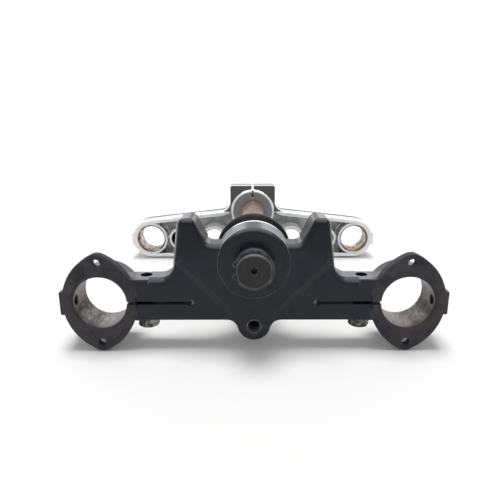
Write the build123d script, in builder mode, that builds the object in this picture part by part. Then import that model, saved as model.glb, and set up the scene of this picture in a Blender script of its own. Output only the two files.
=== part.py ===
from build123d import *
import os
from math import acos, asin, atan2, cos, degrees, hypot, sin

# Motorcycle triple clamp: a cast lower clamp with its pressed-in stem, and an upper clamp
# that pinches the stem's other end. Sizes are in millimetres.
#
# It is drawn about the steering axis: Z runs up the stem from the plane of the fork flanges,
# Y points to the front of the motorcycle and X to its side. At the end every piece is laid
# down by the same turn, so that the set rests on the fork ears and the upper clamp's front.

# Layout of the steering head
fork_spacing = 235.0
fork_offset = 32.0
upper_underside = 202.0

# Fork clamps of the lower casting
fork_bore = 41.0
fork_bore_chamfer = 2.0
lead_in_angle = 45.0
barrel_wall = 5.0
barrel_blend = 7.5
clamp_height = 32.0
flange_thickness = 6.5
flange_half_width = 28.3
ear_reach = 38.9
ear_tip_radius = 9.0
ear_hole_spacing = 63.5
ear_hole = 6.4
flange_edge_round = 0.8
block_reach = 30.2
block_width = 18.6
block_height = 28.0
block_corner = 1.2
block_hole = 8.0
block_hole_height = 9.0

# Split arms between the fork clamps
arm_underside = 1.5
arm_thickness = 20.5
arm_rear_reach = 18.8
arm_front_reach = 14.5
arm_edge_round = 0.8
web_end_clearance = 4.5
web_round = 2.0
shoulder_half_width = 63.5
shoulder_tip_half_width = 58.0
shoulder_reach = 6.0
shoulder_sweep = 12.0
shoulder_round = 6.0
slit_width = 2.4
slit_reach = 69.4
slit_end_hole = 5.0
pinch_inset = 34.3
pinch_height = 14.0

# Bell with its two horns, raised on the underside of the arms
bell_rise = 2.5
bell_height = 27.0
bell_round = 5.0
bell_top_edge = 1.2
bell_belly = 28.0
horn_tip_inner = 44.5
horn_tip_outer = 55.6
horn_foot = 59.6
horn_foot_reach = 1.0
horn_reach = 33.5
horn_tip_round = 5.4
horn_flare_angle = 9.0
horn_flare_reach = 27.0
horn_flare_foot = 6.0
horn_flare_round = 4.0
valley_half_width = 34.6
valley_reach = 13.9
valley_round = 7.0
crease_outer = 55.0
crease_outer_setback = 5.5
crease_inner = 21.5
crease_inner_setback = 38.0
crease_round = 6.0
crease_slope = 60.0
veil_reach = 10.0
veil_clearance = 0.5

# Stem boss, bearing seat and lug of the bell
boss_radius = 27.0
boss_drop = 3.5
boss_draft = 1.0
boss_front_round = 4.0
recess_radius = 39.0
recess_floor = 19.0
seat_radius = 21.0
seat_height = 29.0
lug_setback = 50.4
lug_radius = 12.9
lug_hole = 10.2
lug_rim = 1.0
lug_blend = 8.5

# Steering stem
stem_diameter = 25.4
stem_relief = 0.5
stem_drop = 21.5
stem_stand_out = 2.5
stem_chamfer = 1.2
lower_journal_top = 62.0
upper_journal_length = 34.0
centre_drill = 5.0
centre_drill_depth = 9.0
centre_countersink = 8.0
centre_angle = 60.0
stem_clearance = 0.05

# Circlip on the stem's lower end
circlip_inset = 3.4
circlip_thickness = 1.6
circlip_depth = 0.9
circlip_width = 3.0
circlip_opening = 4.2
circlip_lug = 5.0
circlip_lug_hole = 2.2

# Dished dust shield on the bearing seat
shield_thickness = 1.6
shield_flat_radius = 23.0
shield_radius = 30.0
shield_depth = 10.0

# Upper clamp
upper_thickness = 24.0
upper_end_radius = 22.0
upper_sweep = 11.0
upper_rim_wall = 4.6
upper_web = 6.0
upper_top_round = 3.0
upper_rim_round = 2.0
hollow_edge = 0.9
upper_fork_hole = 29.0
upper_fork_hole_chamfer = 2.4
upper_fork_boss = 18.4
end_pad_width = 14.0
end_pad_reach = 22.6
end_pad_height = 15.0
riser_spacing = 88.9
riser_hole = 23.4
riser_boss = 14.8
side_hole_spacing = 168.0
side_hole = 20.0
side_hole_depth = 19.0
side_boss = 12.8
stem_boss = 25.2
block_half_width = 25.4
block_rear_reach = 29.0
block_corner_reach = 0.9
block_corner_round = 2.0
block_setback = 3.2
stem_boss_round = 3.2
slot_width = 2.4

# Bolts of the split clamps
pinch_bolt = 9.5
pinch_bolt_hole = 10.2
thread_clearance = 0.05
pinch_bolt_length = 27.0
pinch_head_flats = 14.3
pinch_head_height = 6.2
pinch_head_bevel_angle = 60.0
pinch_head_turns = (10.0, 30.0)
pinch_washer_outer = 16.6
pinch_washer = 2.0
stem_bolt = 8.0
stem_bolt_hole = 8.6
stem_bolt_setback = 18.6
stem_bolt_length = 32.0
stem_bolt_head = 13.0
stem_bolt_head_height = 8.0
stem_bolt_head_bevel = 1.0
stem_bolt_socket = 6.0
stem_bolt_socket_depth = 4.5
stem_bolt_counterbore = 15.0
stem_bolt_sink = 10.0
stem_washer = 1.6
washer_clearance = 0.25

# Places that follow from the sizes above
fork_x = fork_spacing / 2
bell_underside = arm_underside - bell_rise
boss_underside = -boss_drop
barrel_radius = fork_bore / 2 + barrel_wall
bell_top = bell_underside + bell_height
arm_front = fork_offset + arm_front_reach
arm_rear = fork_offset - arm_rear_reach
arm_middle = (arm_front + arm_rear) / 2
arm_width = arm_front_reach + arm_rear_reach
web_half_length = shoulder_half_width + shoulder_sweep + web_end_clearance
pinch_x = fork_x - pinch_inset
upper_top = upper_underside + upper_thickness
stem_bore_radius = stem_diameter / 2 + stem_clearance
ends = (-1, 1)

# How far a cut runs past a face, and how near a corner must be to the place it is picked by
overrun = 1.0
near = 0.01

os.makedirs("parts", exist_ok=True)


# One fork clamp: eared flange, barrel and drilled block, drawn on the fork's own axis
ear_centre = ear_reach - ear_tip_radius
flank_centre = (ear_centre**2 - (flange_half_width - ear_tip_radius) ** 2) / (
    2 * (flange_half_width - ear_tip_radius)
)
flank_radius = flange_half_width + flank_centre
fork_plane = Plane((fork_x, fork_offset, 0))

with BuildPart() as fork_clamp:
    with BuildSketch(fork_plane) as flange_outline:
        with Locations((flank_centre, 0)):
            Circle(flank_radius)
        with Locations((-flank_centre, 0)):
            Circle(flank_radius, mode=Mode.INTERSECT)
        fillet(flange_outline.vertices(), ear_tip_radius)
    extrude(amount=flange_thickness)
    with BuildSketch(fork_plane) as block_outline:
        with Locations((block_reach / 2, 0)):
            Rectangle(block_reach, block_width)
        fillet(block_outline.vertices().group_by(Axis.X)[-1], block_corner)
    extrude(amount=block_height)
    chamfer(fork_clamp.faces().sort_by(Axis.Z)[0].outer_wire().edges(), flange_edge_round)
    with BuildSketch(fork_plane):
        Circle(barrel_radius)
    extrude(amount=clamp_height)


# The arms' outer ends: plain bars that sweep into the fork clamps
with BuildPart() as bars:
    with BuildSketch(Plane.XY.offset(arm_underside)) as bar_outline:
        with Locations((0, arm_middle)):
            Rectangle(fork_spacing, arm_width)
        with Locations((-fork_x, fork_offset), (fork_x, fork_offset)):
            Circle(barrel_radius - arm_edge_round)
        fillet(bar_outline.vertices(), barrel_blend)
    extrude(amount=arm_thickness)
    fillet(bars.faces().filter_by(Axis.Z).edges(), arm_edge_round)
    with BuildSketch(Plane.XY.offset(arm_underside)):
        with Locations((0, arm_middle)):
            Rectangle(2 * web_half_length - arm_edge_round, 2 * arm_width)
    extrude(amount=arm_thickness, mode=Mode.SUBTRACT)


# Their middle: a web with the lug and with shoulders that sweep up into the horns
with BuildPart() as web:
    with BuildSketch(Plane.XY.offset(arm_underside)) as web_outline:
        with Locations((0, arm_middle)):
            Rectangle(2 * web_half_length, arm_width)
        with BuildLine():
            Polyline(
                (0, arm_rear),
                (shoulder_half_width, arm_rear),
                (shoulder_tip_half_width, -shoulder_reach),
                (0, -shoulder_reach),
            )
            mirror(about=Plane.YZ)
        make_face()
        with Locations((0, lug_setback)):
            Circle(lug_radius)
        shoulders = web_outline.vertices().filter_by(lambda v: abs(v.Y - arm_rear) < near)
        fillet(shoulders.sort_by(Axis.X)[1:-1], shoulder_sweep)
        lug_corners = web_outline.vertices().filter_by(lambda v: abs(v.Y - arm_front) < near)
        fillet(lug_corners.sort_by(Axis.X)[1:-1], lug_blend)
    extrude(amount=arm_thickness)
    for rounding, side in ((shoulder_round, -1), (web_round, 1)):
        underside = web.faces().sort_by(Axis.Z)[0].edges()
        long_edges = underside.filter_by(lambda e: abs(e.center().X) < web_half_length - near)
        fillet(long_edges.filter_by(lambda e: side * (e.center().Y - arm_middle) > 0), rounding)


def corners(outline, x, y):
    """The outline's corners at this place and at its mirror place."""
    return outline.vertices().filter_by(lambda v: abs(abs(v.X) - x) < near and abs(v.Y - y) < near)


# The bell: two horns with a valley between them, and a rounded underside edge
with BuildPart() as bell:
    with BuildSketch(Plane.XY.offset(bell_underside)) as bell_outline:
        with BuildLine():
            Polyline(
                (0, bell_belly),
                (horn_foot, -horn_foot_reach),
                (horn_tip_outer, -horn_reach),
                (horn_tip_inner, -horn_reach),
                (valley_half_width, -valley_reach),
                (0, -valley_reach),
            )
            mirror(about=Plane.YZ)
        make_face()
        fillet(corners(bell_outline, horn_tip_outer, -horn_reach), horn_tip_round)
        fillet(corners(bell_outline, horn_tip_inner, -horn_reach), horn_tip_round)
        fillet(corners(bell_outline, valley_half_width, -valley_reach), valley_round)
        fillet(corners(bell_outline, horn_foot, -horn_foot_reach), crease_round)
    extrude(amount=bell_height)
    fillet(bell.faces().sort_by(Axis.Z)[0].edges(), bell_round)
    chamfer(bell.faces().sort_by(Axis.Z)[-1].edges(), bell_top_edge)


# The horns' outer flanks flare towards the back, from where the rounded edge ends
flank_slope = (horn_foot - horn_tip_outer) / (horn_reach - horn_foot_reach)
flare_top_x = horn_tip_outer + (horn_reach - horn_flare_reach) * flank_slope
flare_foot_x = horn_foot + (horn_flare_foot + horn_foot_reach) * flank_slope
flare_inner_x = horn_tip_inner + horn_tip_round

with BuildPart() as flare:
    with BuildSketch(Plane.XY.offset(bell_underside + bell_round)) as flare_outline:
        with BuildLine():
            Polyline(
                (flare_inner_x, -horn_flare_reach),
                (flare_top_x, -horn_flare_reach),
                (flare_foot_x, horn_flare_foot),
                (flare_inner_x, horn_flare_foot),
                close=True,
            )
        make_face()
        fillet(corners(flare_outline, flare_top_x, -horn_flare_reach), horn_flare_round)
    extrude(amount=bell_height - bell_round, taper=-horn_flare_angle)
    chamfer(flare.faces().sort_by(Axis.Z)[-1].edges(), bell_top_edge)


# The veil: from the bell it slopes down to the arms along two creases that meet at the lug
with BuildPart() as veil:
    with BuildSketch(Plane.XY.offset(arm_underside)) as veil_outline:
        with BuildLine():
            Polyline(
                (0, lug_setback),
                (lug_radius - lug_rim, lug_setback),
                (crease_inner, crease_inner_setback),
                (crease_outer, crease_outer_setback),
                (horn_foot - veil_clearance, -horn_foot_reach),
                (horn_tip_outer, -veil_reach),
                (0, -veil_reach),
            )
            mirror(about=Plane.YZ)
        make_face()
        with Locations((0, lug_setback)):
            Circle(lug_radius - lug_rim)
        fillet(corners(veil_outline, crease_inner, crease_inner_setback), crease_round)
        fillet(corners(veil_outline, crease_outer, crease_outer_setback), crease_round)
    extrude(amount=bell_top - arm_underside)
    chamfer(veil.faces().sort_by(Axis.Z)[-1].edges(), bell_top_edge)
    extrude(veil_outline.sketch, amount=-bell_rise, taper=crease_slope)


# The round stem boss, drafted like the casting
with BuildPart() as boss:
    with BuildSketch(Plane.XZ) as boss_section:
        with BuildLine():
            Polyline(
                (0, boss_underside),
                (boss_radius, boss_underside),
                (boss_radius + boss_draft, recess_floor),
                (0, recess_floor),
                close=True,
            )
        make_face()
    revolve(axis=Axis.Z)
    fillet(boss.edges().sort_by(Axis.Z)[0], boss_front_round)


with BuildPart() as lower_clamp:
    add(bars.part)
    add(web.part)
    add(bell.part)
    add(veil.part)
    add(flare.part)
    mirror(flare.part, about=Plane.YZ)
    with BuildSketch(Plane.XY.offset(recess_floor)):
        Circle(recess_radius)
    extrude(amount=bell_top, mode=Mode.SUBTRACT)
    add(boss.part)
    with BuildSketch(Plane.XY.offset(recess_floor)):
        Circle(seat_radius)
    extrude(amount=seat_height - recess_floor)
    add(fork_clamp.part)
    mirror(fork_clamp.part, about=Plane.YZ)

    # Stem bore and lug hole
    with Locations((0, 0, bell_top)):
        Hole(stem_bore_radius)
    with Locations((0, lug_setback, bell_top)):
        Hole(lug_hole / 2)

    # Fork bores with their lead-in, ear holes and drilled blocks
    for side in ends:
        with Locations((side * fork_x, fork_offset, clamp_height)):
            Hole(fork_bore / 2)
        with BuildSketch(Plane((side * fork_x, fork_offset, 0))):
            Circle(fork_bore / 2 + fork_bore_chamfer)
        extrude(amount=fork_bore_chamfer, taper=lead_in_angle, mode=Mode.SUBTRACT)
        with Locations((side * fork_x, fork_offset, flange_thickness)):
            with GridLocations(0, ear_hole_spacing, 1, 2):
                Hole(ear_hole / 2)
        with BuildSketch(Plane.YZ.offset(side * fork_x)):
            with Locations((fork_offset, block_hole_height)):
                Circle(block_hole / 2)
        extrude(amount=side * (block_reach + overrun), mode=Mode.SUBTRACT)

        # Slit, its drilled end and the pinch bolt's hole, tapped behind the slit
        with BuildSketch(Plane.XY):
            with Locations((side * (fork_x - slit_reach / 2), fork_offset)):
                Rectangle(slit_reach, slit_width)
            with Locations((side * (fork_x - slit_reach), fork_offset)):
                Circle(slit_end_hole / 2)
        extrude(amount=bell_top, mode=Mode.SUBTRACT)
        with BuildSketch(Plane.XZ.offset(-fork_offset)):
            with Locations((side * pinch_x, pinch_height)):
                Circle(pinch_bolt_hole / 2)
        extrude(amount=-(arm_front_reach + overrun), mode=Mode.SUBTRACT)
        with BuildSketch(Plane.XZ.offset(-fork_offset)):
            with Locations((side * pinch_x, pinch_height)):
                Circle(pinch_bolt / 2 + thread_clearance)
        extrude(amount=arm_rear_reach + overrun, mode=Mode.SUBTRACT)


# Steering stem: turned, with a groove for the circlip and centre drillings at both ends
stem_radius = stem_diameter / 2
stem_top = upper_top + stem_stand_out
groove_floor = stem_radius - circlip_depth
groove_foot = -stem_drop + circlip_inset
groove_top = groove_foot + circlip_thickness

with BuildPart() as steering_stem:
    with BuildSketch(Plane.XZ):
        with BuildLine():
            Polyline(
                (0, -stem_drop),
                (stem_radius - stem_chamfer, -stem_drop),
                (stem_radius, -stem_drop + stem_chamfer),
                (stem_radius, groove_foot),
                (groove_floor, groove_foot),
                (groove_floor, groove_top),
                (stem_radius, groove_top),
                (stem_radius, lower_journal_top),
                (stem_radius - stem_relief, lower_journal_top + stem_relief),
                (stem_radius - stem_relief, upper_underside - upper_journal_length),
                (stem_radius, upper_underside - upper_journal_length + stem_relief),
                (stem_radius, stem_top - stem_chamfer),
                (stem_radius - stem_chamfer, stem_top),
                (0, stem_top),
                close=True,
            )
        make_face()
    revolve(axis=Axis.Z)
    with Locations(Plane((0, 0, -stem_drop), z_dir=(0, 0, -1)), Plane((0, 0, stem_top))):
        CounterSinkHole(centre_drill / 2, centre_countersink / 2, centre_drill_depth, centre_angle)


# Circlip in the stem's groove
circlip_inner = groove_floor + stem_clearance
circlip_outer = circlip_inner + circlip_width
lug_ring = circlip_outer - circlip_lug_hole / 2
lug_angle = degrees(asin((circlip_opening + circlip_lug) / 2 / lug_ring))

with BuildPart() as stem_circlip:
    with BuildSketch(Plane.XY.offset(groove_foot)):
        Circle(circlip_outer)
        with PolarLocations(lug_ring, 2, start_angle=180 - lug_angle, angular_range=4 * lug_angle):
            Circle(circlip_lug / 2)
        Circle(circlip_inner, mode=Mode.SUBTRACT)
        with Locations((-circlip_outer, 0)):
            Rectangle(2 * circlip_width + circlip_lug, circlip_opening, mode=Mode.SUBTRACT)
        with PolarLocations(lug_ring, 2, start_angle=180 - lug_angle, angular_range=4 * lug_angle):
            Circle(circlip_lug_hole / 2, mode=Mode.SUBTRACT)
    extrude(amount=circlip_thickness)


# Dust shield: a dished ring on the bearing seat
with BuildPart() as bearing_dust_shield:
    with BuildSketch(Plane.XZ):
        with BuildLine():
            FilletPolyline(
                (stem_bore_radius, seat_height),
                (shield_flat_radius, seat_height),
                (shield_radius, seat_height + shield_depth / 2),
                (shield_radius, seat_height + shield_depth),
                radius=2 * shield_thickness,
            )
            offset(amount=shield_thickness, side=Side.LEFT)
        make_face()
    revolve(axis=Axis.Z)


# Upper clamp: a plate with a rim, hollowed from below around its bosses
block_underside = upper_underside + block_setback
stem_bolt_height = (block_underside + upper_top) / 2
hollow_depth = upper_thickness - upper_web
riser_places = [(side * riser_spacing / 2, fork_offset) for side in ends]
side_places = [(side * side_hole_spacing / 2, fork_offset) for side in ends]
fork_places = [(side * fork_x, fork_offset) for side in ends]

# The rear edge leaves each round end as a tangent and runs to the corner beside the block
corner = Vector(block_half_width, -block_corner_reach)
fork_centre = Vector(fork_x, fork_offset)
corner_distance = (corner - fork_centre).length
corner_direction = atan2(corner.Y - fork_centre.Y, corner.X - fork_centre.X)
tangent_direction = corner_direction + acos(upper_end_radius / corner_distance)
tangent = fork_centre + Vector(cos(tangent_direction), sin(tangent_direction)) * upper_end_radius


def hollow_boss(radius):
    """A round boss for the hollow underside, with a bevelled end and a bevelled foot."""
    with BuildPart() as boss:
        with BuildSketch(Plane.XZ):
            with BuildLine():
                Polyline(
                    (0, 0),
                    (radius - hollow_edge, 0),
                    (radius, hollow_edge),
                    (radius, hollow_depth - hollow_edge),
                    (radius + hollow_edge, hollow_depth),
                    (radius + hollow_edge, hollow_depth + upper_web / 2),
                    (0, hollow_depth + upper_web / 2),
                    close=True,
                )
            make_face()
        revolve(axis=Axis.Z)
    return boss.part


with BuildPart() as stem_pad:
    with BuildSketch(Plane.XY.offset(upper_underside)):
        Circle(stem_boss)
    extrude(amount=upper_thickness - upper_web / 2)
    fillet(stem_pad.edges().sort_by(Axis.Z)[0], stem_boss_round)


with BuildPart() as upper_clamp:
    with BuildSketch(Plane.XY.offset(upper_underside)) as upper_outline:
        with BuildLine():
            Polyline(
                (0, fork_offset + upper_end_radius),
                (fork_x, fork_offset + upper_end_radius),
                (tangent.X, tangent.Y),
                (corner.X, corner.Y),
                (block_half_width, -block_rear_reach),
                (0, -block_rear_reach),
            )
            mirror(about=Plane.YZ)
        make_face()
        with Locations(*fork_places):
            Circle(upper_end_radius)
        inner_corners = upper_outline.vertices().filter_by(lambda v: abs(v.Y - corner.Y) < near)
        fillet(inner_corners, upper_sweep)
        fillet(upper_outline.vertices().group_by(Axis.Y)[0], block_corner_round)
    extrude(amount=upper_thickness)
    fillet(upper_clamp.faces().sort_by(Axis.Z)[-1].edges(), upper_top_round)
    fillet(upper_clamp.faces().sort_by(Axis.Z)[0].edges(), upper_rim_round)

    # Hollow underside behind a bevelled rim, with the bosses standing in it
    with BuildSketch(Plane.XY.offset(upper_underside)):
        add(upper_outline.sketch_local)
        offset(amount=-upper_rim_wall, mode=Mode.REPLACE)
        with Locations((0, -block_rear_reach)):
            Rectangle(2 * block_half_width, 2 * block_rear_reach, mode=Mode.SUBTRACT)
    extrude(amount=hollow_depth, mode=Mode.SUBTRACT)
    chamfer(upper_clamp.faces().sort_by(Axis.Z)[0].inner_wires()[0].edges(), hollow_edge)
    for places, radius in (
        (riser_places, riser_boss),
        (side_places, side_boss),
        (fork_places, upper_fork_boss),
    ):
        with Locations(*[(x, y, upper_underside) for x, y in places]):
            add(hollow_boss(radius))

    # The split block stands back from the round stem boss
    with BuildSketch(Plane.XY.offset(upper_underside)):
        with Locations((0, -block_rear_reach)):
            Rectangle(3 * block_half_width, 2 * block_rear_reach)
    extrude(amount=block_setback, mode=Mode.SUBTRACT)
    add(stem_pad.part)

    # Flat pads on the round ends
    for side in ends:
        with BuildSketch(Plane.YZ.offset(side * (fork_x + upper_fork_hole / 2 + upper_rim_wall))):
            with Locations((fork_offset, upper_underside + end_pad_height / 2)):
                Rectangle(end_pad_width, end_pad_height)
        extrude(amount=side * (end_pad_reach - upper_fork_hole / 2 - upper_rim_wall))

    # Fork and riser holes, blind side holes, stem bore and slot
    with Locations(*[(x, y, upper_top) for x, y in fork_places]):
        Hole(upper_fork_hole / 2)
    for place in fork_places:
        with BuildSketch(Plane((*place, upper_underside))):
            Circle(upper_fork_hole / 2 + upper_fork_hole_chamfer)
        extrude(amount=upper_fork_hole_chamfer, taper=lead_in_angle, mode=Mode.SUBTRACT)
    with Locations(*[(x, y, upper_top) for x, y in riser_places]):
        Hole(riser_hole / 2)
    with BuildSketch(Plane.XY.offset(upper_underside)):
        with Locations(*side_places):
            Circle(side_hole / 2)
    extrude(amount=side_hole_depth, mode=Mode.SUBTRACT)
    with Locations((0, 0, upper_top)):
        Hole(stem_bore_radius)
    with BuildSketch(Plane.XY.offset(upper_underside)):
        with Locations((0, -block_rear_reach / 2)):
            Rectangle(slot_width, block_rear_reach)
    extrude(amount=upper_thickness, mode=Mode.SUBTRACT)

    # Pinch bolt's hole across the block, with a sunk seat on one side and a thread on the other
    with BuildSketch(Plane.YZ.offset(-block_half_width)):
        with Locations((-stem_bolt_setback, stem_bolt_height)):
            Circle(stem_bolt_hole / 2)
    extrude(amount=block_half_width, mode=Mode.SUBTRACT)
    with BuildSketch(Plane.YZ):
        with Locations((-stem_bolt_setback, stem_bolt_height)):
            Circle(stem_bolt / 2 + thread_clearance)
    extrude(amount=block_half_width, mode=Mode.SUBTRACT)
    with BuildSketch(Plane.YZ.offset(-block_half_width)):
        with Locations((-stem_bolt_setback, stem_bolt_height)):
            Circle(stem_bolt_counterbore / 2)
    extrude(amount=stem_bolt_sink, mode=Mode.SUBTRACT)


def washer(plane, outer, hole, thickness):
    """A flat ring that lies on the plane."""
    with BuildPart() as ring:
        with BuildSketch(plane):
            Circle(outer / 2)
            Circle(hole / 2 + washer_clearance, mode=Mode.SUBTRACT)
        extrude(amount=thickness)
    return ring


def hex_bolt(plane, turn):
    """A hex bolt whose head stands on the plane, turned as tightened, with its shank behind it."""
    with BuildPart() as bolt:
        with BuildSketch(plane):
            RegularPolygon(pinch_head_flats / 2, 6, major_radius=False, rotation=turn)
        extrude(amount=pinch_head_height)
        with BuildSketch(plane.offset(pinch_head_height)):
            Circle(pinch_head_flats / 2)
        extrude(amount=-pinch_head_height, taper=-pinch_head_bevel_angle, mode=Mode.INTERSECT)
        with BuildSketch(plane):
            Circle(pinch_bolt / 2)
        extrude(amount=-pinch_bolt_length)
    return bolt


def socket_bolt(plane):
    """A cap screw whose head stands on the plane, with its shank behind it."""
    with BuildPart() as bolt:
        with BuildSketch(plane):
            Circle(stem_bolt_head / 2)
        extrude(amount=stem_bolt_head_height)
        chamfer(bolt.edges().sort_by(Axis(plane.origin, plane.z_dir))[-1], stem_bolt_head_bevel)
        with BuildSketch(plane.offset(stem_bolt_head_height)):
            RegularPolygon(stem_bolt_socket / 2, 6, major_radius=False)
        extrude(amount=-stem_bolt_socket_depth, mode=Mode.SUBTRACT)
        with BuildSketch(plane):
            Circle(stem_bolt / 2)
        extrude(amount=-stem_bolt_length)
    return bolt


pinch_seats = [Plane((side * pinch_x, arm_front, pinch_height), z_dir=(0, 1, 0)) for side in ends]
pinch_washers = [washer(seat, pinch_washer_outer, pinch_bolt, pinch_washer) for seat in pinch_seats]
pinch_bolts = [
    hex_bolt(seat.offset(pinch_washer), turn) for seat, turn in zip(pinch_seats, pinch_head_turns)
]
stem_bolt_seat = Plane(
    (-block_half_width + stem_bolt_sink, -stem_bolt_setback, stem_bolt_height), z_dir=(-1, 0, 0)
)
stem_pinch_washer = washer(stem_bolt_seat, stem_bolt_head, stem_bolt, stem_washer)
stem_pinch_bolt = socket_bolt(stem_bolt_seat.offset(stem_washer))


# The resting pose: down on the lower ears' upper edges and the upper clamp's rounded front edge
ear_tip = fork_offset + ear_reach
front_edge_y = fork_offset + upper_end_radius - upper_top_round
front_edge_z = upper_top - upper_top_round
rise = ear_tip - front_edge_y
run = front_edge_z - flange_thickness
tilt = atan2(rise, run) - asin(upper_top_round / hypot(rise, run))
floor_height = ear_tip * cos(tilt) + flange_thickness * sin(tilt)
middle = (stem_top - stem_drop) / 2 * cos(tilt)
resting = Location((0, -middle, floor_height), (-90 - degrees(tilt), 0, 0))

pieces = {
    "lower_clamp": lower_clamp,
    "steering_stem": steering_stem,
    "stem_circlip": stem_circlip,
    "bearing_dust_shield": bearing_dust_shield,
    "upper_clamp": upper_clamp,
    "left_fork_pinch_bolt": pinch_bolts[0],
    "right_fork_pinch_bolt": pinch_bolts[1],
    "left_fork_pinch_washer": pinch_washers[0],
    "right_fork_pinch_washer": pinch_washers[1],
    "stem_pinch_bolt": stem_pinch_bolt,
    "stem_pinch_washer": stem_pinch_washer,
}
for name, piece in pieces.items():
    piece.part.label = name
    piece.part.locate(resting)
    export_step(piece.part, f"parts/{name}.step")
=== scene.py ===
# %% [markdown]
# # Motorcycle triple clamp
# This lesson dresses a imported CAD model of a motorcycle's triple clamp: the black lower clamp that
# holds both fork tubes, its steering stem, and the chromed upper clamp at the stem's far end.
# The CAD solids already have the right shapes, so most of the work here is finish: paint, chrome,
# bare turned steel and rust, each as a node material. Two small details are modelled: the thread in
# the lug's hole and the thin lip on the stem boss.

# %% Load the frame
from math import pi, radians

import bpy
from mathutils import Matrix, Vector


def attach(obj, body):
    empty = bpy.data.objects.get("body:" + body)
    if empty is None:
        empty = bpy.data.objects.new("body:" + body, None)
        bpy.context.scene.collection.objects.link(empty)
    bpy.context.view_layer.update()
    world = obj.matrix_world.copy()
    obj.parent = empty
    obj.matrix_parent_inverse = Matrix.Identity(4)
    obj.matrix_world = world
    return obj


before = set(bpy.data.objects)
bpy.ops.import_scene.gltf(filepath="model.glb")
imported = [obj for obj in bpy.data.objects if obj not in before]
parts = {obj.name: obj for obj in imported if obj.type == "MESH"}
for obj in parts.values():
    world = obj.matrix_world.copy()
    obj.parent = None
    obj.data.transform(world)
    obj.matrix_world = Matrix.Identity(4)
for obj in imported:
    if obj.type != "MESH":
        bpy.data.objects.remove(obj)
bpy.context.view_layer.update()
print("pieces of the clamp set:", sorted(parts))

# %% [markdown]
# ## The steering frame
# The set lies on its front edges, so its steering axis dips a little below the horizontal. Every
# hole and seat is easier to name along the stem, so one matrix turns stem coordinates (X across
# the forks, Y to the motorcycle's front, Z up the stem, in millimetres) into places in the scene.
# Each place could be worked out in the scene's own axes instead, but then no number would be one
# that a maker knows.

# %% Stem coordinates
mm = 0.001
stem_dip = radians(4.461)
stem_tilt = -pi / 2 - stem_dip
stem_origin = Vector((0, -103.186, 71.191)) * mm
lying = Matrix.Translation(stem_origin) @ Matrix.Rotation(stem_tilt, 4, "X") @ Matrix.Scale(mm, 4)
print("stem points along", (lying.to_3x3() @ Vector((0, 0, 1))).normalized())

# %% [markdown]
# ## Camera
# The photograph looks along the floor and 20 degrees down, from nearly half a metre in front of the
# lower clamp. A short distance makes strong perspective: the near clamp looms over the far one, so
# the distance matters as much as the angle. The focal length is given as for a 36 mm sensor.

# %% Camera
camera_place = (-0.0027, -0.4338, 0.2017)
camera_pitch = radians(19.945)
camera_roll = radians(-0.115)
bpy.ops.object.camera_add(location=camera_place, rotation=(pi / 2 - camera_pitch, -camera_roll, 0))
camera = bpy.context.object
camera.data.lens = 34.56
camera.data.sensor_width = 36
camera.data.clip_start = 0.01
bpy.context.scene.camera = camera
bpy.context.scene.view_settings.view_transform = "Standard"
print("camera at", tuple(round(c, 3) for c in camera.location))

# %% [markdown]
# ## Floor
# The photograph's ground is a white sheet of studio paper. It could be left out and the shadow
# faked, but a real plane catches the shadow and lights the clamps from below, as paper does. It is
# fully matt, so that it mirrors nothing.

# %% Floor
sheet_white = (0.92, 0.92, 0.915, 1)
sheet = bpy.data.materials.new("studio_sheet")
sheet.use_nodes = True
sheet_shader = sheet.node_tree.nodes["Principled BSDF"]
sheet_shader.inputs["Base Color"].default_value = sheet_white
sheet_shader.inputs["Roughness"].default_value = 1.0
sheet_shader.inputs["Specular IOR Level"].default_value = 0.0

bpy.ops.object.select_all(action="DESELECT")
bpy.ops.mesh.primitive_plane_add(size=40)
floor = bpy.context.object
floor.name = "studio_floor"
floor.data.materials.append(sheet)
print("floor measures", tuple(round(side) for side in floor.dimensions[:2]), "m")


# %% [markdown]
# ## Node helpers
# Materials and the world are small graphs of nodes. They could be wired one line per link, but the
# cells would be long, so each helper adds one node, fills its inputs and hands back its output. A
# ramp is the most used one: it turns a place or a direction into a mask with a soft edge. A place
# that a mask starts or ends at is named as a pair, where the edge begins and where it is complete.

# %% Node helpers
def add_node(tree, kind, settings=None, **values):
    """Adds a node, sets its own settings, and fills inputs by name (underscores stand for spaces)."""
    node = tree.nodes.new("ShaderNode" + kind)
    for key, value in (settings or {}).items():
        setattr(node, key, value)
    for key, value in values.items():
        node.inputs[key.replace("_", " ")].default_value = value
    return node


def fill(tree, socket, value):
    """Links a socket into an input, or sets the input to a plain value."""
    if isinstance(value, bpy.types.NodeSocket):
        tree.links.new(value, socket)
    elif value is not None:
        socket.default_value = value


def maths(tree, operation, first, second=None, clamp=False):
    """A Math node on two sockets or numbers; gives its output."""
    node = add_node(tree, "Math", {"operation": operation, "use_clamp": clamp})
    fill(tree, node.inputs[0], first)
    fill(tree, node.inputs[1], second)
    return node.outputs[0]


def times(tree, first, *others):
    """The product of sockets and numbers; gives its output."""
    for other in others:
        first = maths(tree, "MULTIPLY", first, other)
    return first


def scaled(tree, value, share, start):
    """A value times share, plus start; gives its output."""
    return maths(tree, "ADD", times(tree, value, share), start)


def ramp(tree, value, low, high):
    """Rises smoothly from 0 at low to 1 at high; gives its output."""
    node = add_node(tree, "MapRange", {"interpolation_type": "SMOOTHSTEP"}, From_Min=low, From_Max=high)
    tree.links.new(value, node.inputs["Value"])
    return node.outputs["Result"]


print("node helpers:", [helper.__name__ for helper in (add_node, fill, maths, times, scaled, ramp)])

# %% [markdown]
# ## Room
# The world stands for the white room round the set, and fills the shadow evenly. A world of one
# strength would either wash the shadow out or grey the backdrop, so its strength depends on the ray
# that asks. Rays that draw the picture see plain white, and so do reflections of what lies behind
# the clamps. Towards the camera the mirrored room is a little darker, which draws the dark side of
# glossy edges. All other rays meet the weaker light that fills the shadow.

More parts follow.
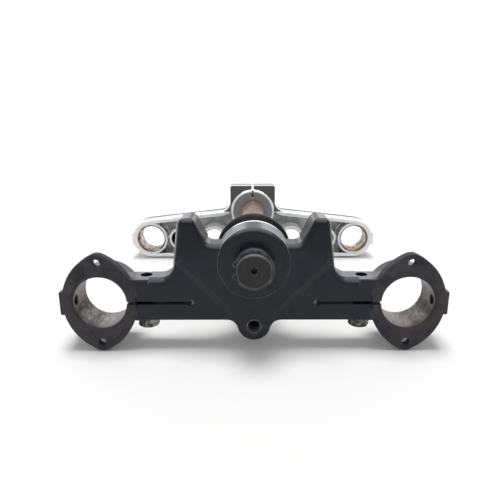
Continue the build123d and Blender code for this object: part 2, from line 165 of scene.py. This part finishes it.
# %% World
room_light = 0.43
room_front = 0.62
front_to_back = (-0.5, 0.4)
world = bpy.data.worlds.new("studio")
bpy.context.scene.world = world
world.use_nodes = True
tree = world.node_tree
background = tree.nodes["Background"]
background.inputs["Color"].default_value = (1, 1, 1, 1)
path = add_node(tree, "LightPath")
towards = add_node(tree, "SeparateXYZ")
tree.links.new(add_node(tree, "TexCoord").outputs["Generated"], towards.inputs[0])
behind = ramp(tree, towards.outputs["Y"], *front_to_back)
mirrored = scaled(tree, behind, 1 - room_front, room_front - room_light)
mirror_ray = maths(tree, "MAXIMUM", path.outputs["Is Glossy Ray"], path.outputs["Is Transmission Ray"])
mirror_lift = times(tree, mirror_ray, mirrored)
picture_lift = times(tree, path.outputs["Is Camera Ray"], 1 - room_light)
lift = maths(tree, "MAXIMUM", mirror_lift, picture_lift)
tree.links.new(maths(tree, "ADD", lift, room_light), background.inputs["Strength"])
print("room light", room_light, "and its mirrored front", room_front)

# %% [markdown]
# ## Lamps
# The photograph's lamp hangs overhead: the shadow lies under the clamps and comes forward a little.
# A sun lamp gives every part of the floor the same light, so the sheet comes out evenly white. It
# leans 7 degrees from behind, and its broad angle keeps the shadow's edge soft. A lamp is also seen
# as its own image in glossy edges. The sun is hidden from reflections, and a soft box above the
# clamps, hidden from matt surfaces instead, draws the light bands along rounded upper edges. Two
# weak panels behind the clamps do the same for the arms' upper faces.

# %% Sun
sun_lean = (radians(-7), radians(-2), 0)
sun_spread = radians(26)
bpy.ops.object.light_add(type="SUN", rotation=sun_lean)
sun = bpy.context.object
sun.data.energy = 2.12
sun.data.angle = sun_spread
sun.visible_glossy = False
print("sun of strength", round(sun.data.energy, 2), "spread over", round(sun_spread, 2), "radians")


# %% Soft box and back panels
def area_lamp(place, width, height, energy):
    """A rectangular lamp that faces down; gives its object."""
    bpy.ops.object.light_add(type="AREA", location=place)
    panel = bpy.context.object
    panel.data.shape = "RECTANGLE"
    panel.data.size = width
    panel.data.size_y = height
    panel.data.energy = energy
    return panel


for side in (-1, 1):
    back_panel = area_lamp((side * 1.55, 2.6, 0.95), width=2.6, height=1.3, energy=14.0)
    aim = Vector((side * 0.1, 0, 0.05)) - back_panel.location
    back_panel.rotation_euler = aim.to_track_quat("-Z", "Y").to_euler()

soft_box = area_lamp((0, 0.1, 1.4), width=2.2, height=2.2, energy=58.0)
soft_box.visible_diffuse = False
print("soft box of", soft_box.data.energy, "W and two back panels of", back_panel.data.energy, "W")


# %% [markdown]
# ## Shared effects
# The same few things happen to every old metal part: casting leaves a grainy skin, damp leaves
# rust, and machined bores are bare where the rest is coated. Each could be wired again in every
# material, but as a node group with named inputs, one recipe serves several materials at different
# strengths. The groups and masks work in Object coordinates, so nothing slides when the view turns.

# %% Places along the stem
def turned_place(tree, origin, stretch):
    """Object coordinates turned along the stem, from an origin, with Z drawn out; gives the vector."""
    turn = add_node(tree, "Mapping", {"vector_type": "TEXTURE"}, Location=origin)
    turn.inputs["Rotation"].default_value = (stem_tilt, 0, 0)
    turn.inputs["Scale"].default_value = (1, 1, stretch)
    tree.links.new(add_node(tree, "TexCoord").outputs["Object"], turn.inputs["Vector"])
    return turn.outputs[0]


def stem_place(tree):
    """The point's place in stem coordinates, in metres, as separate X, Y and Z outputs."""
    split = add_node(tree, "SeparateXYZ")
    tree.links.new(turned_place(tree, stem_origin, 1), split.inputs[0])
    return split.outputs


def new_group(name, inputs, outputs):
    """An empty node group with float inputs {name: default} and outputs {name: socket type}."""
    group = bpy.data.node_groups.new(name, "ShaderNodeTree")
    for label, default in inputs.items():
        socket = group.interface.new_socket(label, in_out="INPUT", socket_type="NodeSocketFloat")
        socket.default_value = default
    for label, kind in outputs.items():
        group.interface.new_socket(label, in_out="OUTPUT", socket_type=kind)
    return group, group.nodes.new("NodeGroupInput"), group.nodes.new("NodeGroupOutput")


print("stem coordinates start at", tuple(round(c, 4) for c in stem_origin), "m")


# %% Group: bare bores
def make_bare_bore():
    """Mask of a pair of round walls, one each side, parallel to the stem."""
    group, given, out = new_group(
        "bare_bore",
        {"Side": 0.1, "Front": 0.03, "Radius": 0.02, "Edge": 0.0003},
        {"Mask": "NodeSocketFloat"},
    )
    place = stem_place(group)
    across = maths(group, "SUBTRACT", maths(group, "ABSOLUTE", place["X"]), given.outputs["Side"])
    along = maths(group, "SUBTRACT", place["Y"], given.outputs["Front"])
    squares = maths(group, "ADD", maths(group, "POWER", across, 2), maths(group, "POWER", along, 2))
    inside = maths(group, "SUBTRACT", given.outputs["Radius"], maths(group, "SQRT", squares))
    share = maths(group, "ADD", maths(group, "DIVIDE", inside, given.outputs["Edge"]), 1.0, clamp=True)
    group.links.new(share, out.inputs["Mask"])
    return group


bare_bore = make_bare_bore()
print("group", bare_bore.name, "has", len(bare_bore.nodes), "nodes")


# %% Group: cast skin
def make_cast_skin():
    """Relief of a casting's skin, from its wavy form to its grain, with a mottle as a second output."""
    group, given, out = new_group(
        "cast_skin",
        {"Grain": 900.0, "Wave": 110.0, "Mottle": 60.0, "Wave Share": 0.7},
        {"Height": "NodeSocketFloat", "Mottle": "NodeSocketFloat"},
    )
    here = add_node(group, "TexCoord")
    grain = add_node(group, "TexNoise", Detail=3.0, Roughness=0.6)
    wave = add_node(group, "TexNoise", Detail=2.0, Roughness=0.45)
    mottle = add_node(group, "TexNoise", Detail=5.0, Roughness=0.65)
    for node, size in ((grain, "Grain"), (wave, "Wave"), (mottle, "Mottle")):
        group.links.new(here.outputs["Object"], node.inputs["Vector"])
        group.links.new(given.outputs[size], node.inputs["Scale"])
    waves = times(group, wave.outputs[0], given.outputs["Wave Share"])
    grain_share = maths(group, "SUBTRACT", 1.0, given.outputs["Wave Share"])
    height = maths(group, "ADD", waves, times(group, grain.outputs[0], grain_share))
    group.links.new(height, out.inputs["Height"])
    group.links.new(mottle.outputs[0], out.inputs["Mottle"])
    return group


cast_skin = make_cast_skin()
print("group", cast_skin.name, "has", len(cast_skin.nodes), "nodes")


# %% Group: rust bloom
def mix_colours(tree, factor, first, second):
    """A Mix node on two colours or colour sockets; gives its output."""
    node = add_node(tree, "Mix", {"data_type": "RGBA"})
    for place, value in ((0, factor), (6, first), (7, second)):
        fill(tree, node.inputs[place], value)
    return node.outputs[2]


rust_brown = (0.055, 0.022, 0.012, 1)
rust_orange = (0.30, 0.12, 0.05, 1)


def make_rust_bloom():
    """Patches of rust: how much of it there is, and its colour from brown to orange."""
    group, given, out = new_group(
        "rust_bloom",
        {"Amount": 0.4, "Size": 120.0},
        {"Mask": "NodeSocketFloat", "Colour": "NodeSocketColor"},
    )
    here = add_node(group, "TexCoord")
    bloom = add_node(group, "TexNoise", Detail=7.0, Roughness=0.7)
    group.links.new(here.outputs["Object"], bloom.inputs["Vector"])
    group.links.new(given.outputs["Size"], bloom.inputs["Scale"])
    start = times(group, maths(group, "SUBTRACT", 1.0, given.outputs["Amount"]), 0.75)
    over = maths(group, "SUBTRACT", bloom.outputs[0], start)
    group.links.new(maths(group, "MULTIPLY", over, 6.0, clamp=True), out.inputs["Mask"])
    tint = add_node(group, "TexNoise", Scale=350.0, Detail=4.0)
    group.links.new(here.outputs["Object"], tint.inputs["Vector"])
    group.links.new(mix_colours(group, tint.outputs[0], rust_brown, rust_orange), out.inputs["Colour"])
    return group


rust_bloom = make_rust_bloom()
print("group", rust_bloom.name, "has", len(rust_bloom.nodes), "nodes")


# %% [markdown]
# ## Black paint of the lower clamp
# The casting is painted a glossy blue-black. One flat colour would look like plastic, and a painted
# picture would need the surface unwrapped, so the film is built in layers instead: each is a mask in
# stem coordinates and a colour, and stays on its place from any side. The flanges round the forks
# have lost gloss and look browner, the horns are the deepest black, and the rest is a little mottled.

# %% Paint: places on the lower clamp
def place_group(tree, group, **values):
    """Puts a shared effect into a material with its own values; gives its outputs."""
    node = add_node(tree, "Group", {"node_tree": group}, **values)
    return node.outputs


def new_finish(name):
    """A material with a plain Principled shader; gives the material, its tree and the shader."""
    material = bpy.data.materials.new(name)
    material.use_nodes = True
    return material, material.node_tree, material.node_tree.nodes["Principled BSDF"]


def hole_mask(tree, hole, radius, edge=0.0003):
    """Mask of what lies within a radius of a hole's axis, on both sides of the stem."""
    side, front = hole
    return place_group(tree, bare_bore, Side=side, Front=front, Radius=radius, Edge=edge)["Mask"]


def falling(tree, value, low, high):
    """A ramp the other way round: falls smoothly from 1 at low to 0 at high; gives its output."""
    return ramp(tree, value, high, low)


fork_hole = (0.1175, 0.032)
fork_bore_radius = 0.0206
lead_in_radius = 0.0224
arm_to_fork = (0.088, 0.094)
horn_side = (0.034, 0.044)
horn_rear = (-0.014, 0.002)
paint, tree, shader = new_finish("black_paint")
skin = place_group(tree, cast_skin, Grain=700.0, Wave=130.0, Mottle=45.0)
x, y, z = stem_place(tree)
across = maths(tree, "ABSOLUTE", x)
fork_end = ramp(tree, across, *arm_to_fork)
horns = times(tree, ramp(tree, across, *horn_side), falling(tree, y, *horn_rear))
bore = hole_mask(tree, fork_hole, fork_bore_radius)
lead_in = hole_mask(tree, fork_hole, lead_in_radius)
print("fork holes", fork_hole[0], "m to each side and", fork_hole[1], "m in front of the stem")

# %% Paint: film
web_black = (0.016, 0.0175, 0.026, 1)
flange_brown = (0.062, 0.057, 0.061, 1)
mottle_black = (0.021, 0.0225, 0.031, 1)
lead_in_brown = (0.055, 0.044, 0.046, 1)
horn_black = (0.0085, 0.0095, 0.0155, 1)
mottled = ramp(tree, skin["Mottle"], 0.35, 0.75)
film = mix_colours(tree, fork_end, web_black, flange_brown)
film = mix_colours(tree, mottled, film, mottle_black)
film = mix_colours(tree, lead_in, film, lead_in_brown)
film = mix_colours(tree, horns, film, horn_black)
print("film from", horn_black[:3], "on the horns to", flange_brown[:3], "on the flanges")

# %% [markdown]
# ## Painted edge highlights and chips
# Rounded edges of glossy paint catch light as thin bright lines. Here they are painted in, as a
# lighter grey along the edges: a painted highlight. A screw chips the paint round the lug's hole.
# The lines could be placed edge by edge, but the Bevel node finds every edge: it gives the normal
# that a rounded edge would have, and where that differs from the real normal, there is an edge. The
# slits and the fork ends are kept out, because the photograph shows no light line there.

# %% Paint: painted highlights along the edges
def rest_of(tree, mask):
    """What a mask leaves: 1 less the mask; gives its output."""
    return maths(tree, "SUBTRACT", 1.0, mask)


# Painted highlight: a lighter grey along the edges stands in for the light that rounded edges catch.
highlight_width = 0.0022
edge_sharpness = (0.01, 0.12)
slit_start = (0.034, 0.040)
slit_margin = (0.004, 0.007)
highlight_grey = (0.13, 0.134, 0.148, 1)
round_edge = add_node(tree, "Bevel", {"samples": 8}, Radius=highlight_width)
edge_turn = add_node(tree, "VectorMath", {"operation": "DOT_PRODUCT"})
tree.links.new(round_edge.outputs["Normal"], edge_turn.inputs[0])
tree.links.new(add_node(tree, "NewGeometry").outputs["Normal"], edge_turn.inputs[1])
highlit = ramp(tree, rest_of(tree, edge_turn.outputs["Value"]), *edge_sharpness)
from_slit = maths(tree, "ABSOLUTE", maths(tree, "SUBTRACT", y, fork_hole[1]))
on_arm = ramp(tree, across, *slit_start)
at_slit = maths(tree, "SUBTRACT", on_arm, ramp(tree, from_slit, *slit_margin), clamp=True)
unhighlit = maths(tree, "MAXIMUM", at_slit, fork_end)
uneven = scaled(tree, ramp(tree, skin["Mottle"], 0.38, 0.6), 0.5, 0.5)
highlit = times(tree, highlit, rest_of(tree, unhighlit), uneven)
# Lays the painted edge highlight onto the film.
film = mix_colours(tree, highlit, film, highlight_grey)
print("edges rubbed over a width of", highlight_width, "m")

# %% Paint: chips round the lug's hole
lug_hole = (0.0, 0.0504)
lug_rim_radius = 0.0057
lug_mouth = (0.0020, 0.0026)
chip_grey = (0.13, 0.125, 0.13, 1)
chips = add_node(tree, "TexNoise", Scale=900.0, Detail=2.0)
tree.links.new(add_node(tree, "TexCoord").outputs["Object"], chips.inputs["Vector"])
lug_rim = hole_mask(tree, lug_hole, lug_rim_radius, edge=0.0008)
chipped = ramp(tree, times(tree, lug_rim, chips.outputs[0]), 0.47, 0.53)
chipped = times(tree, chipped, falling(tree, z, *lug_mouth))
film = mix_colours(tree, chipped, film, chip_grey)
print("paint chipped round the hole", lug_hole[1], "m in front of the stem")

# %% [markdown]
# ## Bare fork bores
# The fork tubes go through bores that were machined after painting, so their walls are bare steel:
# streaked along the bore by the tool and by the tubes, grimy and dark at the lower mouth, and more
# rusted on the right. A second material could be put on those faces, but a mask round each bore's
# axis gives a soft border in the same material and leaves the CAD mesh alone.

# %% Paint: steel of the bores
def stem_streaks(tree, size, stretch):
    """Noise drawn out along the stem, as tool marks and run-down rust are; gives values near 0.5."""
    noise = add_node(tree, "TexNoise", Scale=size, Detail=5.0, Roughness=0.65)
    tree.links.new(turned_place(tree, (0, 0, 0), stretch), noise.inputs["Vector"])
    return noise.outputs[0]


steel_dark = (0.05, 0.043, 0.041, 1)
steel_mid = (0.105, 0.094, 0.09, 1)
streak_light = (0.175, 0.157, 0.15, 1)
grime_dark = (0.038, 0.033, 0.033, 1)
bore_rust = (0.052, 0.037, 0.031, 1)
mouth_dark = (0.016, 0.012, 0.013, 1)
grime_depth = (0.003, 0.012)
mouth_depth = (0.0030, 0.0042)
left_to_right = (-0.02, 0.02)
streaks = stem_streaks(tree, 620.0, 4.0)
rust = place_group(tree, rust_bloom, Amount=0.38, Size=110.0)
rusty_side = scaled(tree, ramp(tree, x, *left_to_right), 0.6, 0.25)
steel = mix_colours(tree, ramp(tree, skin["Mottle"], 0.35, 0.65), steel_dark, steel_mid)
for mask, colour in (
    (ramp(tree, streaks, 0.40, 0.62), streak_light),
    (times(tree, falling(tree, z, *grime_depth), 0.65), grime_dark),
    (times(tree, rust["Mask"], rusty_side), bore_rust),
    (times(tree, falling(tree, z, *mouth_depth), 0.85), mouth_dark),
):
    steel = mix_colours(tree, mask, steel, colour)
print("bore steel from", mouth_dark[:3], "to", streak_light[:3])


# %% Paint: shader
def bump(tree, shader, height, distance):
    """Lets a height in 0 to 1 tilt the surface, as a relief that is distance metres deep."""
    node = add_node(tree, "Bump", Distance=distance)
    tree.links.new(height, node.inputs["Height"])
    tree.links.new(node.outputs[0], shader.inputs["Normal"])


def dress(piece, finish):
    """Gives a piece its finish in place of what it had."""
    piece.data.materials.clear()
    piece.data.materials.append(finish)
    print(piece.name, "wears", finish.name, "of", len(finish.node_tree.nodes), "nodes")


flange_back = (0.0062, 0.0068)
flange = times(tree, fork_end, falling(tree, z, *flange_back))
flange_face = maths(tree, "SUBTRACT", flange, bore, clamp=True)
roughness = scaled(tree, skin["Mottle"], 0.14, 0.15)
roughness = maths(tree, "ADD", roughness, times(tree, fork_end, 0.15))
roughness = maths(tree, "ADD", roughness, times(tree, flange_face, 0.4))
scored = times(tree, streaks, bore, 0.15)
tree.links.new(mix_colours(tree, bore, film, steel), shader.inputs["Base Color"])
tree.links.new(times(tree, bore, 0.75), shader.inputs["Metallic"])
tree.links.new(roughness, shader.inputs["Roughness"])
shader.inputs["Specular IOR Level"].default_value = 0.2
bump(tree, shader, maths(tree, "ADD", skin["Height"], scored), 0.0003)
dress(parts["lower_clamp"], paint)


# %% [markdown]
# ## Chrome of the upper clamp: its faces
# Chrome shows its surroundings, so a low roughness would be enough on a bright set. Here the
# underside looks straight at the black lower clamp, and pure metal would mirror only that. So the
# faces are told apart by where they are and which way they look, and each gets its own brightness:
# the rim's plain chrome, its bevel painted light, the raw hollow between the ribs, the split block's
# face painted dark as a reflection of the black clamp, and a dark band painted on the outer rear side
# as the reflection that darkens its far edge.

# %% Chrome: faces
chrome, tree, shader = new_finish("chrome_plate")
skin = place_group(tree, cast_skin, Grain=420.0, Mottle=70.0)
x, y, z = stem_place(tree)
facing = add_node(tree, "NewGeometry")


def facing_along(direction):
    """How far the surface faces along a direction in stem coordinates, from -1 to 1."""
    dot = add_node(tree, "VectorMath", {"operation": "DOT_PRODUCT"})
    dot.inputs[1].default_value = (lying.to_3x3() @ Vector(direction)).normalized()
    tree.links.new(facing.outputs["Normal"], dot.inputs[0])
    return dot.outputs["Value"]


underside = (0.2026, 0.2034)
split_level = (0.2040, 0.2045)
split_back = (0.2065, 0.2070)
hollow_floor = (0.208, 0.210)
dark_band_level = (0.2142, 0.2184)
rear_edge = (0.0140, 0.0155)
down_stem = facing_along((0, 0, -1))
to_rear = facing_along((0, -1, 0))
to_front = facing_along((0, 1, 0))
flat = ramp(tree, down_stem, 0.9, 0.97)
near = falling(tree, z, *underside)
rim_face = times(tree, near, flat)
bevel = times(tree, near, ramp(tree, down_stem, 0.4, 0.55), rest_of(tree, flat))
hollow = times(tree, ramp(tree, z, *hollow_floor), flat)
split_face = times(tree, flat, ramp(tree, z, *split_level), falling(tree, z, *split_back))
outer_side = falling(tree, y, *rear_edge)
# Painted reflection: a dark band on the outer rear side stands in for the dark line its far edge
# mirrors.
painted_dark_band = times(tree, ramp(tree, z, *dark_band_level), ramp(tree, to_rear, 0.45, 0.75), outer_side)
print("upper clamp measures", tuple(round(side, 4) for side in parts["upper_clamp"].dimensions), "m")

# %% [markdown]
# ## Chrome: holes, bosses and rings
# The upper clamp has a machined seat round the stem, fork-cap holes rusted at their mouths, riser
# holes in raised bosses, and blind side holes, painted black inside as painted shade. All are round,
# so the shared bore mask finds each by its axis and radius. The bosses' sides and the rim's inner
# wall shine as light rings in the photograph, so these, with the riser bosses' faces and the clamp's
# ends, are painted near-white and matt: a painted reflection.

# %% Chrome: holes
riser_hole = (0.04445, 0.032)
side_hole = (0.084, 0.032)
stem_hole = (0.0, 0.0)
stem_seat_radius = 0.0220
cap_hole_radius = 0.0147
cap_mouth_radius = 0.0161
cap_mouth_depth = (0.2054, 0.2066)
riser_radius = 0.0121
side_hole_radius = 0.0101
side_hole_floor = (0.2220, 0.2230)
rust = place_group(tree, rust_bloom, Amount=0.40, Size=170.0)
machined = times(tree, hole_mask(tree, stem_hole, stem_seat_radius, edge=0.0004), near)
hole = hole_mask(tree, fork_hole, cap_hole_radius)
mouth = times(tree, hole_mask(tree, fork_hole, cap_mouth_radius), falling(tree, z, *cap_mouth_depth))
rusted = times(tree, maths(tree, "MAXIMUM", hole, mouth), rust["Mask"])
riser_mouth = hole_mask(tree, riser_hole, riser_radius)
blind = times(tree, hole_mask(tree, side_hole, side_hole_radius), falling(tree, z, *side_hole_floor))
print("riser holes", riser_hole[0], "m and side holes", side_hole[0], "m to each side")


# %% Chrome: painted shine on rings and rims
def largest(tree, first, *others):
    """The largest of some sockets; gives its output."""
    for other in others:
        first = maths(tree, "MAXIMUM", first, other)
    return first


riser_boss_radius = 0.0160
boss_edge = (0.2060, 0.2066)
boss_foot = (0.2180, 0.2185)
rim_foot = (0.2180, 0.2190)
hole_line = (0.024, 0.026)
end_reach = (0.088, 0.122)
riser_boss = hole_mask(tree, riser_hole, riser_boss_radius)
boss_ring = maths(tree, "SUBTRACT", riser_boss, riser_mouth)
boss_side = times(tree, boss_ring, ramp(tree, z, *boss_edge), falling(tree, z, *boss_foot))
boss_face = times(tree, riser_boss, rim_face, 0.8)
behind_holes = falling(tree, y, *hole_line)
rim_wall = times(tree, ramp(tree, to_front, 0.5, 0.75), behind_holes, falling(tree, z, *rim_foot))
clamp_end = ramp(tree, maths(tree, "ABSOLUTE", x), *end_reach)
clamp_end = times(tree, scaled(tree, clamp_end, 0.3, 0.7), rim_face)
# Painted reflection: these rings, faces and ends are painted near-white and matt.
painted_shine = largest(tree, boss_side, boss_face, rim_wall, clamp_end)
print("chrome's masks take", len(tree.nodes), "nodes")

# %% [markdown]
# ## Chrome: colours and shader
# The colours lie over each other from the plain plate to the rust, so one loop lays them on in
# order. Light faces that look at the black clamp are made mostly non-metallic, because a metal there
# would mirror it; their light colour is a painted reflection, as the split face's dark colour is.
# The hollow has a casting's grain as bump, since plate that thin hides nothing.

# %% Chrome: colours
plate_plain = (0.80, 0.81, 0.82, 1)
skin_dark = (0.24, 0.252, 0.247, 1)
skin_light = (0.50, 0.52, 0.51, 1)
rim_grey = (0.64, 0.65, 0.66, 1)
# Painted highlight: the rim's bevel is painted near-white and matt in place of the bright reflection it
# shows.
bevel_highlight_white = (0.86, 0.865, 0.87, 1)
# Painted reflection: the near-white of the shining rings.
shine_white = (0.93, 0.93, 0.925, 1)
# Painted reflection: colour of the dark band along the rear edge.
dark_band_colour = (0.065, 0.067, 0.07, 1)
# Painted reflection: the split block's face is painted dark, as the black clamp it faces would mirror.
split_reflection_dark = (0.085, 0.09, 0.088, 1)
machined_grey = (0.29, 0.29, 0.295, 1)
riser_dark = (0.10, 0.10, 0.10, 1)
hole_cream = (0.90, 0.865, 0.80, 1)
mouth_brown = (0.085, 0.066, 0.05, 1)
# Painted shade: the blind side holes are painted black inside, where shade falls.
blind_hole_shade = (0.02, 0.021, 0.02, 1)
rough_skin = mix_colours(tree, ramp(tree, skin["Mottle"], 0.3, 0.7), skin_dark, skin_light)
print("plate from", blind_hole_shade[:3], "in the side holes to", shine_white[:3], "on the rings")

# %% Chrome: layers
patchy = scaled(tree, ramp(tree, skin["Mottle"], 0.40, 0.54), 0.5, 0.5)
layers = (
    (hollow, rough_skin),
    (rim_face, rim_grey),
    (bevel, bevel_highlight_white),
    (painted_shine, shine_white),
    (painted_dark_band, dark_band_colour),
    (split_face, split_reflection_dark),
    (machined, machined_grey),
    (times(tree, riser_mouth, near), riser_dark),
    (hole, hole_cream),
    (times(tree, mouth, patchy), mouth_brown),
    (blind, blind_hole_shade),
    (rusted, rust["Colour"]),
)
plate = plate_plain
for mask, colour in layers:
    plate = mix_colours(tree, mask, plate, colour)
print(len(layers), "layers lie on the plain plate")

# %% Chrome: shader
hollow_matt = times(tree, hollow, 0.9)
shine_matt = times(tree, painted_shine, 0.85)
bare = largest(tree, hole, mouth, blind, bevel, split_face, hollow_matt, painted_dark_band, shine_matt)
dull_hollow = times(tree, hollow, 0.45)
dull_bare = times(tree, bare, 0.6)
dull_seat = times(tree, machined, 0.4)
dull_dark_band = times(tree, painted_dark_band, 0.9)
dull = largest(tree, dull_hollow, dull_bare, dull_seat, dull_dark_band)
tree.links.new(plate, shader.inputs["Base Color"])
tree.links.new(rest_of(tree, bare), shader.inputs["Metallic"])
tree.links.new(maths(tree, "ADD", dull, 0.06), shader.inputs["Roughness"])
bump(tree, shader, times(tree, skin["Height"], hollow), 0.0007)
dress(parts["upper_clamp"], chrome)

# %% [markdown]
# ## Bare steel of the stem
# The stem is turned steel that has been handled and left damp: a tan film of rust with fine rings
# from the lathe tool, a dark line where it enters the upper clamp, and a grey lower end with a black
# face. The rings could be cut into the mesh, but at 0.7 mm apart they only tilt the light, so a sine
# along the stem drives the bump instead.

# %% Stem steel
stem_tan = (0.116, 0.085, 0.068, 1)
stem_light = (0.215, 0.168, 0.142, 1)
line_dark = (0.018, 0.016, 0.015, 1)
lower_end_grey = (0.11, 0.11, 0.12, 1)
end_black = (0.011, 0.0107, 0.0125, 1)
ring_pitch = 0.0007
lower_end_level = (-0.004, 0.0)
end_face_level = (-0.0209, -0.0206)
line_start = (0.1990, 0.2012)
line_end = (0.2020, 0.2040)
turned, tree, shader = new_finish("turned_steel")
skin = place_group(tree, cast_skin, Grain=500.0, Mottle=80.0)
rust = place_group(tree, rust_bloom, Amount=0.5, Size=60.0)
z = stem_place(tree)["Z"]
lower_end = falling(tree, z, *lower_end_level)
end_face = falling(tree, z, *end_face_level)
clamp_line = maths(tree, "SUBTRACT", ramp(tree, z, *line_start), ramp(tree, z, *line_end))
base = mix_colours(tree, skin["Mottle"], stem_tan, stem_light)
base = mix_colours(tree, times(tree, rust["Mask"], 0.5), base, rust["Colour"])
base = mix_colours(tree, clamp_line, base, line_dark)
base = mix_colours(tree, lower_end, base, lower_end_grey)
base = mix_colours(tree, end_face, base, end_black)
print("stem rings", ring_pitch, "m apart")

# %% Stem shader
tree.links.new(base, shader.inputs["Base Color"])
tree.links.new(times(tree, rest_of(tree, lower_end), 0.45), shader.inputs["Metallic"])
shader.inputs["Roughness"].default_value = 0.42
shader.inputs["Specular IOR Level"].default_value = 0.35
rings = maths(tree, "SINE", times(tree, z, 2 * pi / ring_pitch))
bump(tree, shader, maths(tree, "ADD", times(tree, rings, 0.3), skin["Height"]), 0.00004)
dress(parts["steering_stem"], turned)


# %% [markdown]
# ## Dark small parts
# The dust shield is black like the casting but duller, the circlip is blackened spring steel, and
# the bolts and washers are plated steel gone dull and specked. They differ only in their two
# colours, their gloss and the size of their specks, so one function makes all of these finishes.

# %% Small parts
def dark_finish(name, dark, light, metallic, roughness, mottle, relief, specular=0.5):
    """A dull metal finish that varies between two colours; roughness varies with it."""
    material, tree, shader = new_finish(name)
    skin = place_group(tree, cast_skin, Grain=800.0, Mottle=mottle)
    patches = ramp(tree, skin["Mottle"], 0.42, 0.66)
    tree.links.new(mix_colours(tree, patches, dark, light), shader.inputs["Base Color"])
    shader.inputs["Metallic"].default_value = metallic
    shader.inputs["Specular IOR Level"].default_value = specular
    tree.links.new(scaled(tree, patches, 0.15, roughness), shader.inputs["Roughness"])
    bump(tree, shader, skin["Height"], relief)
    return material


shield_black = dark_finish(
    "shield_black", (0.012, 0.014, 0.0145, 1), (0.028, 0.032, 0.033, 1),
    metallic=0.0, roughness=0.5, mottle=60.0, relief=0.00005, specular=0.06,
)
spring_steel = dark_finish(
    "spring_steel", (0.03, 0.03, 0.034, 1), (0.09, 0.09, 0.10, 1),
    metallic=0.6, roughness=0.35, mottle=200.0, relief=0.00003,
)
bolt_steel = dark_finish(
    "bolt_steel", (0.035, 0.037, 0.033, 1), (0.30, 0.32, 0.28, 1),
    metallic=0.7, roughness=0.35, mottle=260.0, relief=0.00008,
)
dress(parts["bearing_dust_shield"], shield_black)
dress(parts["stem_circlip"], spring_steel)
for name in parts:
    if "pinch" in name:
        dress(parts[name], bolt_steel)


# %% [markdown]
# ## Thread of the lug hole
# The lug under the stem boss has a tapped hole. A thread is one triangle carried round the hole's
# axis while it climbs. It could be a bump, but its ridges show at the hole's mouth, so it is
# modelled, with the Screw modifier: a triangle is drawn beside the axis, with its base sunk a little
# into the wall and its tip towards the axis, and the modifier winds it up.

# %% Lug thread: profile
lug_place = Vector((0, 50.4, 0.4))
lug_radius = 5.1
thread_pitch = 1.5
thread_turns = 16
thread_flatness = 0.75
thread_sink = 0.2

bpy.ops.object.select_all(action="DESELECT")
bpy.ops.mesh.primitive_circle_add(
    vertices=3, radius=thread_pitch / 2, fill_type="NOTHING", rotation=(pi / 2, 0, 0)
)
lug_thread = bpy.context.object
lug_thread.name = "lug_thread"
bpy.ops.object.transform_apply(rotation=True)
bpy.ops.object.mode_set(mode="EDIT")
bpy.ops.transform.rotate(value=pi / 2, orient_axis="Y", center_override=(0, 0, 0))
bpy.ops.transform.resize(value=(thread_flatness, 1, 1))
bpy.ops.transform.translate(value=(lug_radius - thread_sink, 0, 0))
bpy.ops.object.mode_set(mode="OBJECT")
corners = [tuple(round(c, 2) for c in corner.co) for corner in lug_thread.data.vertices]
print("thread profile", corners)


# %% Lug thread: winding
def lay_down(piece):
    """Turns a piece drawn in stem millimetres into its place, and puts that place in its mesh."""
    bpy.ops.object.select_all(action="DESELECT")
    piece.select_set(True)
    bpy.context.view_layer.objects.active = piece
    piece.matrix_world = lying @ piece.matrix_world
    bpy.ops.object.transform_apply(location=True, rotation=True, scale=True)


def finish_piece(piece, finish):
    """Gives a new piece its finish and its body."""
    dress(piece, finish)
    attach(piece, "root")


steps_per_turn = 40
winding = lug_thread.modifiers.new("winding", "SCREW")
winding.axis = "Z"
winding.screw_offset = thread_pitch
winding.iterations = thread_turns
winding.steps = steps_per_turn
winding.render_steps = steps_per_turn
bpy.ops.object.modifier_apply(modifier="winding")
bpy.ops.object.mode_set(mode="EDIT")
bpy.ops.mesh.select_all(action="SELECT")
bpy.ops.mesh.remove_doubles(threshold=0.001)
bpy.ops.mesh.fill_holes(sides=0)
bpy.ops.mesh.normals_make_consistent(inside=False)
bpy.ops.object.mode_set(mode="OBJECT")
lug_thread.location = lug_place
bpy.ops.object.transform_apply(location=True)
lay_down(lug_thread)
finish_piece(lug_thread, paint)
print("thread faces", len(lug_thread.data.polygons))

# %% [markdown]
# ## Lip on the stem boss
# A thin lip round the stem boss's rear edge is coloured light bare steel, so that it draws one bright
# line in front of the dust shield: a painted highlight of that edge. It could be a ring of faces
# raised from the boss, but the CAD mesh is left alone, and a torus is the lip's shape already: it is
# added at its size, and a bisect keeps only the part that the casting doesn't swallow.

# %% Boss lip
boss_rear = 18.9
lip_radius = 27.7
lip_thickness = 0.7
lip_cut = -14.2
# Painted highlight: light steel on the lip makes the bright edge line.
lip_highlight_steel = dark_finish(
    "lip_highlight_steel", (0.42, 0.42, 0.43, 1), (0.62, 0.62, 0.63, 1),
    metallic=0.9, roughness=0.28, mottle=300.0, relief=0.00003,
)

bpy.ops.object.select_all(action="DESELECT")
bpy.ops.mesh.primitive_torus_add(
    major_radius=lip_radius, minor_radius=lip_thickness, major_segments=160, minor_segments=16
)
boss_lip = bpy.context.object
boss_lip.name = "boss_lip"
bpy.ops.object.mode_set(mode="EDIT")
bpy.ops.mesh.select_all(action="SELECT")
bpy.ops.mesh.bisect(plane_co=(0, lip_cut, 0), plane_no=(0, 1, 0), use_fill=True, clear_outer=True)
bpy.ops.object.mode_set(mode="OBJECT")
boss_lip.location = (0, 0, boss_rear)
bpy.ops.object.transform_apply(location=True)
bpy.ops.object.shade_smooth_by_angle()
lay_down(boss_lip)
finish_piece(boss_lip, lip_highlight_steel)
print("lip faces", len(boss_lip.data.polygons))
